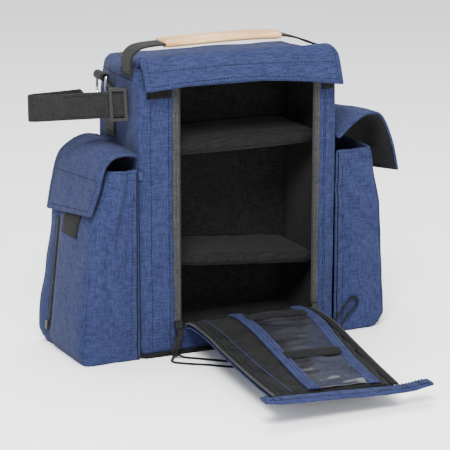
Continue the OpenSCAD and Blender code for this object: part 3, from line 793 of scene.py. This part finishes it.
def pocket_point(side, s, z, out=0.0):
    """Point of the pocket's cloth; s runs from 0 at the front, round the outer face, to its back."""
    z = max(z, 0.8)
    reach = [face_x(side, y, z) for y in (POCKET_F, POCKET_B)]
    inner = ((9, 1.4), (2.6, 3.6), (1.2, 10))
    line = ([vec(108.2, POCKET_F + 1.4)] + [vec(reach[0] - a, POCKET_F + b) for a, b in inner]
            + [vec(reach[1] - a, POCKET_B - b) for a, b in inner[::-1]] + [vec(108.2, POCKET_B - 1.4)])
    marks = [0, 0.30, 0.345, 0.38, 0.62, 0.655, 0.70, 1.0]
    k = max(0, min(len(marks) - 2, int(np.searchsorted(marks, s) - 1)))
    t = (s - marks[k]) / (marks[k + 1] - marks[k])
    p = mix(line[k], line[k + 1], t)
    d = unit(line[k + 1] - line[k])
    n = vec(d[1], -d[0])
    wave = 0.0
    if s < 0.34 or s > 0.66:
        u = min(s, 1 - s) / 0.34
        belly = 3.8 * bow(u) * bow(min(1, z / 205)) ** 0.7
        folds = 1.6 * math.sin(9 * u + 0.02 * z + side) * math.exp(-((z - 150) / 60) ** 2)
        low = 1.5 * ripple((u * 30, z * 0.7, side * 9), 14, 2) * math.exp(-((z - 20) / 45) ** 2)
        wave = belly + folds * bow(u) + low - crease_depth(side, u * 56, z)
    else:
        u = (s - 0.34) / 0.32
        low = 3.0 * math.exp(-((z - 38) / 34) ** 2) * (0.4 + u) * (side < 0)
        wave = 2.0 * bow(u) * bow(z / 200) + 1.5 * ripple((u * 60, z, 0), 28, side) + low
        wave = min(wave, 5 - 5.3 * math.exp(-((u - 0.744) / 0.12) ** 2))
    wave = min(max(wave, -3.5), 5.0)
    q = p + n * (wave + out)
    return vec(side * q[0], q[1], z)


def pocket(side, word):
    def cloth_point(u, v):
        z = mix(1.0, POCKET_H - 0.5, v)
        sag = 2.2 * bow(min(1, u / 0.34)) * (v > 0.9) * (v - 0.9) * 10 if u < 0.34 else 0
        return pocket_point(side, u, z - sag)

    obj = sheet_piece(word + "_pocket_cloth", cloth_point, 90, 48, 2.4, BLUE, "bag", [
        f"{word}_pocket_face", f"{word}_pocket_front_gusset", f"{word}_pocket_back_gusset"])
    if side > 0:
        obj.data.flip_normals()

    def bottom(u, v):
        y = mix(POCKET_F + 3, POCKET_B - 3, u)
        return vec(side * mix(108, face_x(side, y, 0) - 3.4, v), y, 1.7)

    sheet_piece(word + "_pocket_bottom", bottom, 24, 12, 2.6, BASE, "bag", [word + "_pocket_base"])

    rim = [pocket_point(side, s, POCKET_H - 0.6) for s in np.linspace(0.01, 0.99, 120)]
    piece(word + "_pocket_rim", *tube(rim, 1.7, 8), BLUE, "bag")
    line = [pocket_point(side, s, POCKET_H - 9, 1.2) for s in np.linspace(0.02, 0.98, 200)]
    stitch(line, np.cross(np.gradient(np.array(line), axis=0), (0, 0, side)), "bag", BLUE_THREAD)
    for s in (0.345, 0.655):
        line = [pocket_point(side, s, z, 1.1) for z in np.linspace(4, POCKET_H - 3, 60)]
        piece(f"{word}_pocket_welt_{int(s * 1000)}", *tube(line, 1.0, 8), BLUE, "bag")
    # Black tubes down the pocket's front and back joins to the body: the seam is real, but its black colour
    # is painted shade for the dark gap between pocket and body
    for s in (0.012, 0.988):
        line = [pocket_point(side, s, z, 0.8) for z in np.linspace(2, POCKET_H - 2, 60)]
        piece(f"{word}_pocket_seam_{int(s * 1000)}", *tube(line, 0.9, 8), BASE, "bag")
    line = [pocket_point(side, 0.05, z, 1.15) for z in np.linspace(6, POCKET_H - 12, 60)]
    stitch(line, (0, -1, 0), "bag")


pocket(-1, "left")
pocket(1, "right")


def pocket_fittings():
    """Hook patch and slanting side zip on each pocket's outer face."""
    tape, coil, patch = Heap(), Heap(), Heap()
    for side in (-1, 1):
        def out(y, z, lift):
            s = mix(0.38, 0.62, (y - POCKET_F - 10) / (POCKET_B - POCKET_F - 20))
            return pocket_point(side, float(np.clip(s, 0.36, 0.64)), z, lift)

        grid = [[out(y, z, 1.7) for y in np.linspace(-27, 9, 12)] for z in np.linspace(123, 149, 10)]
        patch.add(*slab(grid, 1.0))
        zs = np.linspace(28, 134, 60)
        tape.add(*slab([[out(y, z, 1.5) for y in np.linspace(22, 28, 5)] for z in zs], 0.8))
        for z in np.arange(28, 134, 2.0):
            coil.block(out(25, z, 1.9), vec(0.4, 0, 0), vec(0, 1.2, 0), vec(0, 0, 0.65))
        for y in (19.5, 30.5):
            line = [out(y, z, 1.25) for z in zs]
            stitch(line, (side, 0, 0), "bag", BLUE_THREAD)
    tape.piece("pocket_zip_bands", BASE, "bag", ["pocket_zip_tapes"])
    coil.piece("pocket_zip_coils", DARK_METAL, "bag")
    patch.piece("pocket_hook_squares", HOOK, "bag", ["pocket_hook_patches"])


pocket_fittings()


# ---- pocket flaps -----------------------------------------------------------

FLAPS = {
    "left": ([(109.5, 207), (122, 209), (135, 206), (143, 197), (149, 174), (157.5, 152)],
             [(109.5, 207), (123, 208.5), (138, 203.5), (151, 192), (158.5, 165), (164, 137)]),
    "right": ([(109.5, 206), (124, 219), (140, 228), (156, 226), (169, 200), (178, 167)],
              [(109.5, 207), (124, 217), (143, 220), (160, 212), (170, 185), (175, 152)]),
}


def flap_point(word, u, v, out=0.0):
    """u from the seam to the free end, v from front to back."""
    side = -1 if word == "left" else 1
    front, back = (through(np.array(line, float), 60) for line in FLAPS[word])
    k = u * 59
    i = min(int(k), 58)
    a, b = (mix(line[i], line[i + 1], k - i) for line in (front, back))
    a2, b2 = (line[i + 1] - line[i] for line in (front, back))
    p = mix(a, b, v)
    d = unit(mix(a2, b2, v))
    n = vec(-d[1], d[0])
    puff = 1.2 * bow(v) * bow(u) + 1.6 * ripple((u * 60, v * 90, side * 7), 30, 4)
    p = p + n * (puff * min(1, 3 * u) ** 2 + out)
    return vec(side * p[0], mix(POCKET_F - 0.5, POCKET_B + 2, v), p[1]), vec(side * n[0], 0, n[1])


def flap(word):
    body = word + "_flap"
    obj = sheet_piece(body + "_cloth", lambda u, v: flap_point(word, u, v)[0], 44, 34, 2.6, BLUE)
    if word == "left":
        obj.data.flip_normals()
    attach(obj, body)
    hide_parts(body)

    def inner(u, v):
        return flap_point(word, mix(0.04, 0.996, u), mix(0.004, 0.996, v), -1.5)[0]

    sheet_piece(body + "_lining", inner, 44, 34, 1.3, LINING, body)

    def patch(u, v):
        return flap_point(word, mix(0.80, 0.96, u), mix(0.26, 0.62, v), -2.8)[0]

    sheet_piece(body + "_hooks", patch, 8, 10, 0.9, HOOK, body, [word + "_flap_patch"])

    def row(places, material=THREAD):
        stitch_on([flap_point(word, u, v, 1.3) for u, v in places], body, material)

    row([(0.955, v) for v in np.linspace(0.04, 0.96, 60)])
    row([(u, 0.045) for u in np.linspace(0.60, 0.955, 40)])
    row([(u, 0.955) for u in np.linspace(0.60, 0.955, 40)])
    row([(0.60, v) for v in np.linspace(0.05, 0.95, 60)])
    row([(0.045, v) for v in np.linspace(0.03, 0.97, 60)], BLUE_THREAD)


flap("left")
flap("right")


# ---- hood -------------------------------------------------------------------

HOOD_HALF = 104.3
HOOD_X = [-HOOD_HALF, -60, 0, 60, HOOD_HALF]
HOOD_LOW = [271.5, 274.5, 275.5, 270.5, 264.5]


def hood_point(u, v, out=0.0):
    """u from left to right, v from the fold at the top to the free edge."""
    x = mix(-HOOD_HALF, HOOD_HALF, u)
    low = smooth(x, HOOD_X, HOOD_LOW)
    line = np.array([(-49.5, 294.0), (-50.8, 298.4), (-54.5, 300.4), (-60, 294.5),
                     (-66.5, (293.5 + low) / 2 + 1.5), (-72.8, low)])
    marks = [0, 0.12, 0.24, 0.42, 0.70, 1.0]
    p = smooth(v, marks, line)
    q = smooth(min(1, v + 0.01), marks, line) - smooth(max(0, v - 0.01), marks, line)
    n = unit(vec(q[1], -q[0]))
    if n[0] > 0 and v > 0.3:
        n = -n
    if v <= 0.3 and n[1] < 0:
        n = -n
    corner = max(0.0, u - 0.95) / 0.05
    drop = corner**2 * 6 * math.exp(-((v - 0.25) / 0.2) ** 2)
    puff = 1.5 * ripple((x, v * 40, 0), 30, 6) + 0.8 * bow(v) * bow(u)
    y, z = p + n * (puff + out)
    return vec(x, y, z - drop), vec(0, n[0], n[1])


def hood():
    sheet_piece("hood_cloth", lambda u, v: hood_point(u, v)[0], 90, 34, 3.0, BLUE, "hood", ["hood_panel"])

    def lining_point(u, v):
        return hood_point(mix(0.02, 0.98, u), mix(0.42, 0.965, v), -2.0)[0]

    sheet_piece("hood_lining", lining_point, 60, 14, 0.8, LINING, "hood")

    def strip(u, v):
        return hood_point(mix(0.03, 0.97, u), mix(0.62, 0.93, v), -2.7)[0]

    sheet_piece("hood_hooks", strip, 60, 8, 0.9, HOOK, "hood", ["hood_hook_strip"])

    def row(places):
        stitch_on([hood_point(u, v, 1.5) for u, v in places], "hood")

    row([(u, 0.94) for u in np.linspace(0.02, 0.98, 100)])
    row([(u, 0.62) for u in np.linspace(0.02, 0.98, 100)])
    row([(0.022, v) for v in np.linspace(0.30, 0.94, 30)])
    row([(0.978, v) for v in np.linspace(0.30, 0.94, 30)])


hood()


def hood_join():
    """Cloth that joins the hood's fold to the top of the body."""
    def f(u, v):
        x = mix(-104, 104, u)
        top = hood_point(u, 0.02)[0]
        return vec(x, mix(top[1], -45.5, v), mix(top[2], 290.9 + 0.5 * dome(x, -104, 104), v ** 0.6))

    obj = sheet_piece("hood_join", f, 60, 6, 1.6, BLUE)
    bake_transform(obj)


hood_join()


# ---- handle -----------------------------------------------------------------

HANDLE_Y, WEB_HALF = -32.0, 12.7
HANDLE = [
    (-108.9, 281), (-108.9, 290.7), (-108.9, 297), (-105, 304), (-97, 308.5), (-73, 310.5), (-50, 311.2),
    (-20, 312), (20, 312.5), (50, 311.5), (64, 309), (78, 304.5), (90, 299.5), (100, 296.5), (107.5, 293.4),
    (109.0, 289.5), (109.0, 281),
]


def handle():
    line = through([(x, HANDLE_Y, z) for x, z in HANDLE], 120)
    widths = [vec(0, WEB_HALF, 0)] * len(line)
    strap = piece("handle_strap", *ribbon(line, widths, 1.9, 9), WEBBING, None, [
        "handle_webbing", "handle_anchors"])
    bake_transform(strap)
    for sx in (-1, 1):
        for y in (-42.5, -21.5):
            stitch([vec(sx * 110.2, y, z) for z in (282, 289)], (sx, 0, 0), "bag", THREAD)
        stitch([vec(sx * 110.2, y, 283) for y in (-42, -22)], (sx, 0, 0), "bag", THREAD)

    grip = through([(x, HANDLE_Y, z) for x, z in HANDLE[5:10]], 60)
    sections = 22
    verts = []
    for i, p in enumerate(grip):
        t = i / (len(grip) - 1)
        end = min(t, 1 - t)
        half_w = 13.6 + 0.8 * bow(t) + 0.35 * ripple((t * 90, 0, 0), 12, 8)
        half_t = 4.2 - 0.7 * math.exp(-((end / 0.03) ** 2)) + 0.25 * ripple((t * 80, 9, 0), 10, 9)
        for k in range(sections):
            angle = 2 * math.pi * k / sections
            c, s = math.cos(angle), math.sin(angle)
            y = boxy(c, 0.55) * half_w
            z = boxy(s, 0.75) * half_t
            if abs(angle - 1.5 * math.pi) < 0.2:
                z += 0.6
            verts.append(p + vec(0, y, z))
    piece("leather_wrap", verts, ring_faces(len(grip), sections), LEATHER, "handle", ["handle_grip"])
    front = [p + vec(0, -13.9, -1.6) for p in grip]
    stitch(front[2:-2], (0, -1, 0), "handle", TAN_THREAD, 3.0, 0.6)


handle()


# ---- ring webbing, strap and hardware ---------------------------------------

RING_X, RING_Y, RING_Z = 117.5, 15.0, 274.0
RING_WEB_X = 108.6


def ring_webbing(side, word):
    flat = [(RING_WEB_X, z) for z in (214, 240, 260)]
    turn = [(110.5, 265.5), (113.2, 269.2)]
    angles = np.radians(np.arange(215, -130, -25))
    loop = [(RING_X + 3.7 * math.cos(a), RING_Z + 3.7 * math.sin(a)) for a in angles]
    line = through([(x, RING_Y, z) for x, z in flat + turn + loop], 110)
    line = [vec(side * p[0], p[1], p[2]) for p in line]
    taper = [12.8 if abs(p[2]) < 258 else mix(12.8, 11.2, min(1, (p[2] - 258) / 8)) for p in line]
    widths = [vec(0, w * -side, 0) for w in taper]
    piece(word + "_ring_webbing", *ribbon(line, widths, 1.7, 9), WEBBING, "bag", [word + "_side_webbing"])
    x = side * 109.5
    for dy in (-10.5, 10.5):
        stitch([vec(x, RING_Y + dy, z) for z in (216, 258)], (side, 0, 0), "bag", THREAD)
    for z in (218.0, 236.0, 256.0):
        stitch([vec(x, RING_Y + y, z) for y in (-10, 10)], (side, 0, 0), "bag", THREAD)


ring_webbing(-1, "left")
ring_webbing(1, "right")

EYE_Z = 249.8
STRAP = [[-124, 15, EYE_Z], [-130, 14.5, EYE_Z], [-137, 13.5, EYE_Z], [-146, 12, EYE_Z], [-170, 9, EYE_Z],
         [-188, 7.5, EYE_Z], [-194.5, 5.5, EYE_Z], [-197.5, 1.5, EYE_Z + 0.2], [-196, -2.8, EYE_Z + 0.4],
         [-190, -6, 250.5], [-160, -19, 252.2], [-130, -32, 253.9], [-111.5, -40, 255]]


def strap():
    line = through(STRAP, 120)
    along = run(line)
    widths = []
    for s in along:
        turn = float(np.clip((s - 1) / 20, 0, 1))
        turn = turn * turn * (3 - 2 * turn) * math.pi / 2
        half = mix(7.4, 12.4, math.sin(turn))
        widths.append(vec(0, math.cos(turn) * half, math.sin(turn) * half))
    piece("strap_webbing", *ribbon(line, widths, 1.6, 9), WEBBING, "strap", ["side_strap"])
    angles = np.radians(np.arange(0, 360, 12))
    eye = [vec(-RING_X + 5.0 * math.cos(a), RING_Y, EYE_Z + 4.9 * math.sin(a)) for a in angles]
    grid = [[p + vec(0, s, 0) for s in np.linspace(-7, 7, 7)] for p in eye + eye[:1]]
    piece("strap_eye", *slab(grid, 1.5), WEBBING, "strap")
    for offset in (-9.8, 9.8):
        rows = [(p, w) for p, w, s in zip(line, widths, along) if s > 112]
        points = [p + unit(w) * offset + vec(-0.40, -0.92, 0) * 0.85 for p, w in rows]
        stitch(points, (-0.40, -0.92, 0), "strap", THREAD, 2.8, 0.5)


strap()


def hardware():
    """Carried-over metal parts get their plating and softened edges."""
    for node, material, bevel in (
        ("left_ring", METAL, 0), ("right_ring", METAL, 0), ("strap_buckle", DARK_METAL, 0.7),
        ("left_zip_slider", DARK_METAL, 0.5), ("right_zip_slider", DARK_METAL, 0.5),
        ("left_pocket_slider", DARK_METAL, 0.6), ("right_pocket_slider", DARK_METAL, 0.6),
    ):
        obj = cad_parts[node]
        obj.data.materials.clear()
        obj.data.materials.append(material)
        if bevel:
            edge = obj.modifiers.new("soft_edges", "BEVEL")
            edge.width, edge.segments, edge.limit_method = bevel * 0.001, 3, "ANGLE"


hardware()


def pull_tab(word, centre_x, lean):
    """Webbing tab on the slider's pin, and the cord's knot at its end."""
    body = word + "_pull"
    pin_y, pin_z = FRONT_Y - 6.6, 25.5
    angles = np.radians(range(80, -100, -30))
    loop = [(centre_x, pin_y + 1.9 * math.cos(a), pin_z + 1.9 * math.sin(a)) for a in angles]
    down = [(centre_x + lean * 0.2, pin_y - 0.1, 20), (centre_x + lean * 0.6, pin_y - 0.4, 13),
            (centre_x + lean, pin_y - 0.8, 7)]
    line = through(loop + down, 40)
    widths = [vec(mix(2.2, 3.6, min(1, max(0, (24 - p[2]) / 6))), 0, 0) for p in line]
    piece(body + "_webbing", *ribbon(line, widths, 1.8, 7), WEBBING, body)
    knot = vec(centre_x + lean * 1.2, pin_y - 2.4, 4.6)
    turns = []
    for a in np.linspace(0, 2 * math.pi, 60, endpoint=False):
        reach = 1.7 + 0.9 * math.cos(3 * a)
        turns.append(knot + vec(reach * math.cos(2 * a), reach * math.sin(2 * a), 1.5 * math.sin(3 * a)))
    piece(body + "_knot", *tube(turns, 1.15, 8, closed=True), CORD, body, [word + "_pull_tab"])
    for dx in (-2.6, 2.6):
        stitch([p + vec(dx, -1.0, 0) for p in line[16:]], (0, -1, 0), body, THREAD, 2.2, 0.45)


pull_tab("left", OPEN_L - TAPE_W / 2 - 0.4, -6)
pull_tab("right", OPEN_R + TAPE_W / 2 - 0.3, 6)


def loop_patches():
    heap = Heap()
    for x0, x1, z0, z1 in ((-98, -73, 261, 270), (90, 106, 257, 267)):
        grid = [[shell_point(vec(x, FRONT_Y, z)) + vec(0, -0.7, 0) for z in np.linspace(z0, z1, 6)]
                for x in np.linspace(x0, x1, 10)]
        heap.add(*slab(grid, 1.1))
    heap.piece("loop_squares", HOOK, "bag", ["front_loop_patches"])
    tag = [vec(-105.5, -57.0, z) for z in np.linspace(183, 191, 6)]
    piece("pocket_tag", *ribbon(tag, [vec(2.2, 0, 0)] * 6, 1.2), BLUE, "bag")


loop_patches()


# ---- door -------------------------------------------------------------------

DOOR = np.array([
    (60.3, -62.3, 79.4, 34, 33.5), (72, -62.3, 79.4, 37.5, 34.5), (90, -62.3, 79.4, 38.5, 34.5),
    (115, -62.3, 79, 37.5, 33), (150, -62.3, 77.5, 33.5, 28), (190, -62.4, 74, 30, 24),
    (230, -62.6, 70, 27.5, 21), (268, -63, 65, 26.5, 20),
], float)


def door_row(y):
    return smooth(-y, DOOR[:, 0], DOOR[:, 1:])


def door_point(x, y, lift=0.0):
    left, right, zl, zr = door_row(y)
    t = (x - left) / (right - left)
    return vec(x, y, mix(zl, zr, t) + lift)


WINDOW_L = ([60, 150, 262], [-3, -5, -15])
WINDOW_R = ([60, 100, 150, 200, 262], [54, 56, 50, 43, 36])


def window_side(which, y):
    return float(smooth(-y, *which))


def door_grid(y0, y1, left, right, lift, rows=40, cols=20):
    """Grid on the door's top; left and right give x for y, and lift gives the height for u and v."""
    grid = []
    for u in np.linspace(0, 1, rows):
        y = mix(y0, y1, u)
        a, b = left(y), right(y)
        grid.append([door_point(mix(a, b, v), y, lift(u, v)) for v in np.linspace(0, 1, cols)])
    return grid


def door():
    def left(y):
        return door_row(y)[0]

    def right(y):
        return door_row(y)[1]

    def pad_lift(u, v):
        edge = min(1, min(v, 1 - v) * 9) ** 0.5
        return -3.0 - 0.6 + 0.7 * edge + 0.5 * ripple((u * 200, v * 140, 0), 34, 11)

    grid = door_grid(-61.5, -268, lambda y: left(y) + 1.8, lambda y: right(y) - 1.8, pad_lift, 60, 36)
    thick = [[4.6 * (0.45 + 0.55 * min(1, min(v, 1 - v) * 10) ** 0.5) for v in np.linspace(0, 1, 36)]
             for _ in range(60)]
    # The pad uses the darker door copy of the lining, which is painted shade
    pad = piece("door_pad", *slab(grid, thick), SHADED_DOOR_LINING)
    puffed(pad, 2.0, 0.7, 0.004)
    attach(pad, "door")
    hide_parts("door_panel")

    grid = door_grid(-61, -269, lambda y: left(y) + 1.2, lambda y: right(y) - 1.2, lambda u, v: -6.2, 60, 12)
    piece("door_outer_cloth", *slab(grid, 1.2), BLUE, "door")

    tapes, coils = Heap(), Heap()
    for which, sign in ((left, 1), (right, -1)):
        grid = door_grid(-61, -267, lambda y: which(y) + sign * 0.9, lambda y: which(y) + sign * 7.5,
                         lambda u, v: -1.4 + 0.6 * v, 70, 6)
        tapes.add(*slab(grid, 1.2))
        for y in np.arange(-62, -266, -1.9):
            middle = door_point(which(y) + sign * 1.1, y, -1.4)
            coils.block(middle, vec(0.8, 0, 0), vec(0, 0.62, 0), vec(0, 0, 0.9))
        line = [door_point(which(y) + sign * 4.6, y, -0.1) for y in np.linspace(-63, -266, 80)]
        stitch(line, (0, 0, 1), "door", THREAD, 2.8, 0.5)
    tapes.piece("door_tapes", BASE, "door", ["door_zip_tapes"])
    coils.piece("door_coils", TAPE, "door")
    line = [door_point(mix(-45, -43, t), mix(-62, -264, t), 0.0) for t in np.linspace(0, 1, 60)]
    piece("door_thin_piping", *tube(line, 0.5, 8), BLUE, "door")
    stitch([p + vec(-1.6, 0, 0) for p in line], (0, 0, 1), "door", THREAD, 4.0, 0.6)


door()


def door_fittings():
    """Clear pockets, their bindings and the dark bands across them."""
    panes, binding, bands = Heap(), Heap(), Heap()
    for number, (y0, y1) in enumerate(((-62, -79), (-93, -176), (-190, -263))):
        def puff(u, v, number=number):
            body = bow(u) * bow(v)
            waves = ripple((u * (17, 82, 72)[number], v * 24, number * 9), 9, 12)
            return 1.2 + body + (0.6, 1.5, 1.5)[number] * waves

        grid = door_grid(y0, y1, lambda y: window_side(WINDOW_L, y) - 0.5,
                         lambda y: window_side(WINDOW_R, y) + 0.5, puff, 40, 36)
        panes.add(*slab(grid, 0.6))
    panes.piece("clear_windows", VINYL, "door", ["door_windows"])
    for which, out in ((WINDOW_L, -1), (WINDOW_R, 1)):
        wide = 12 if out < 0 else 11

        def inner(y):
            return window_side(which, y)

        def outer(y):
            return window_side(which, y) + out * wide

        grid = door_grid(-62, -265, inner, outer, lambda u, v: 1.2 + 1.1 * abs(bow(3 * v)), 80, 31)
        binding.add(*slab(grid, 1.3))
        for t in (0.02, 0.333, 0.667, 0.98):
            line = [door_point(mix(inner(y), outer(y), t), y, 1.9) for y in np.linspace(-63, -264, 90)]
            stitch(line, (0, 0, 1), "door", THREAD, 3.2, 0.8)
    binding.piece("window_borders", BLUE, "door", ["window_bindings"])
    for y0, y1 in ((-78, -95), (-174.5, -191)):
        grid = door_grid(y0, y1, lambda y: window_side(WINDOW_L, y) - 3,
                         lambda y: window_side(WINDOW_R, y) + 3, lambda u, v: 2.2 + 0.4 * bow(u), 8, 30)
        bands.add(*slab(grid, 1.2))
        for y in (y0 - 2.5, y1 + 2.5):
            xs = np.linspace(window_side(WINDOW_L, y), window_side(WINDOW_R, y), 40)
            stitch([door_point(x, y, 3.0) for x in xs], (0, 0, 1), "door", THREAD, 2.8, 0.5)
    # The bands use the darker door copy of the lining: painted shade on top of their own black
    bands.piece("window_cross_bands", SHADED_DOOR_LINING, "door", ["window_bands"])


door_fittings()


def door_hem():
    """Rolled blue hem across the door's end, with a folded tab at each end."""
    centre = through([(-78, -276.8, 27), (-62, -276.8, 24.8), (0, -277, 21.2), (64, -276.8, 17.6),
                      (92, -276.8, 20)], 100)
    sections = 16
    verts = []
    for i, p in enumerate(centre):
        flat = 1 - 0.35 * max(0, abs(i - 49.5) / 49.5 - 0.8) * 5
        for k in range(sections):
            angle = 2 * math.pi * k / sections
            c, s = math.cos(angle), math.sin(angle)
            y = boxy(c, 0.7) * 7.6
            z = boxy(s, 0.8) * 2.7 * flat
            grow = 1 + 0.06 * ripple((i * 2.0, k, 0), 8, 13)
            verts.append(p + vec(0, y * grow, z * grow))
    piece("door_end_hem", verts, ring_faces(len(centre), sections), BLUE, "door", ["door_hem"])
    for dy in (-5.0, 5.5):
        stitch([p + vec(0, dy, 2.3) for p in centre[2:-2]], (0, 0, 1), "door", THREAD)
    for x in (-62.0, -70.0, 66.0, 80.0):
        near = min(centre, key=lambda p: abs(p[0] - x))
        stitch([near + vec(0, dy, 2.7) for dy in (-7, 7)], (0, 0, 1), "door", THREAD)


door_hem()


def door_fold():
    """Cloth that joins the door's inner end to the kick panel."""
    def f(u, v):
        x = mix(OPEN_L + 2.5, OPEN_R - 2.5, v)
        start, end = vec(x, FRONT_Y + 2.2, 26.5), door_point(x, -62.5, -3.5)
        middle = vec(x, -58.5, 29.5)
        return mix(mix(start, middle, u), mix(middle, end, u), u)

    obj = sheet_piece("door_fold", f, 8, 40, 2.0, BLUE)
    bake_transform(obj)


door_fold()


for (body, material), heap in threads.items():
    heap.piece(f"stitches_{body}_{material.name}", material, body)
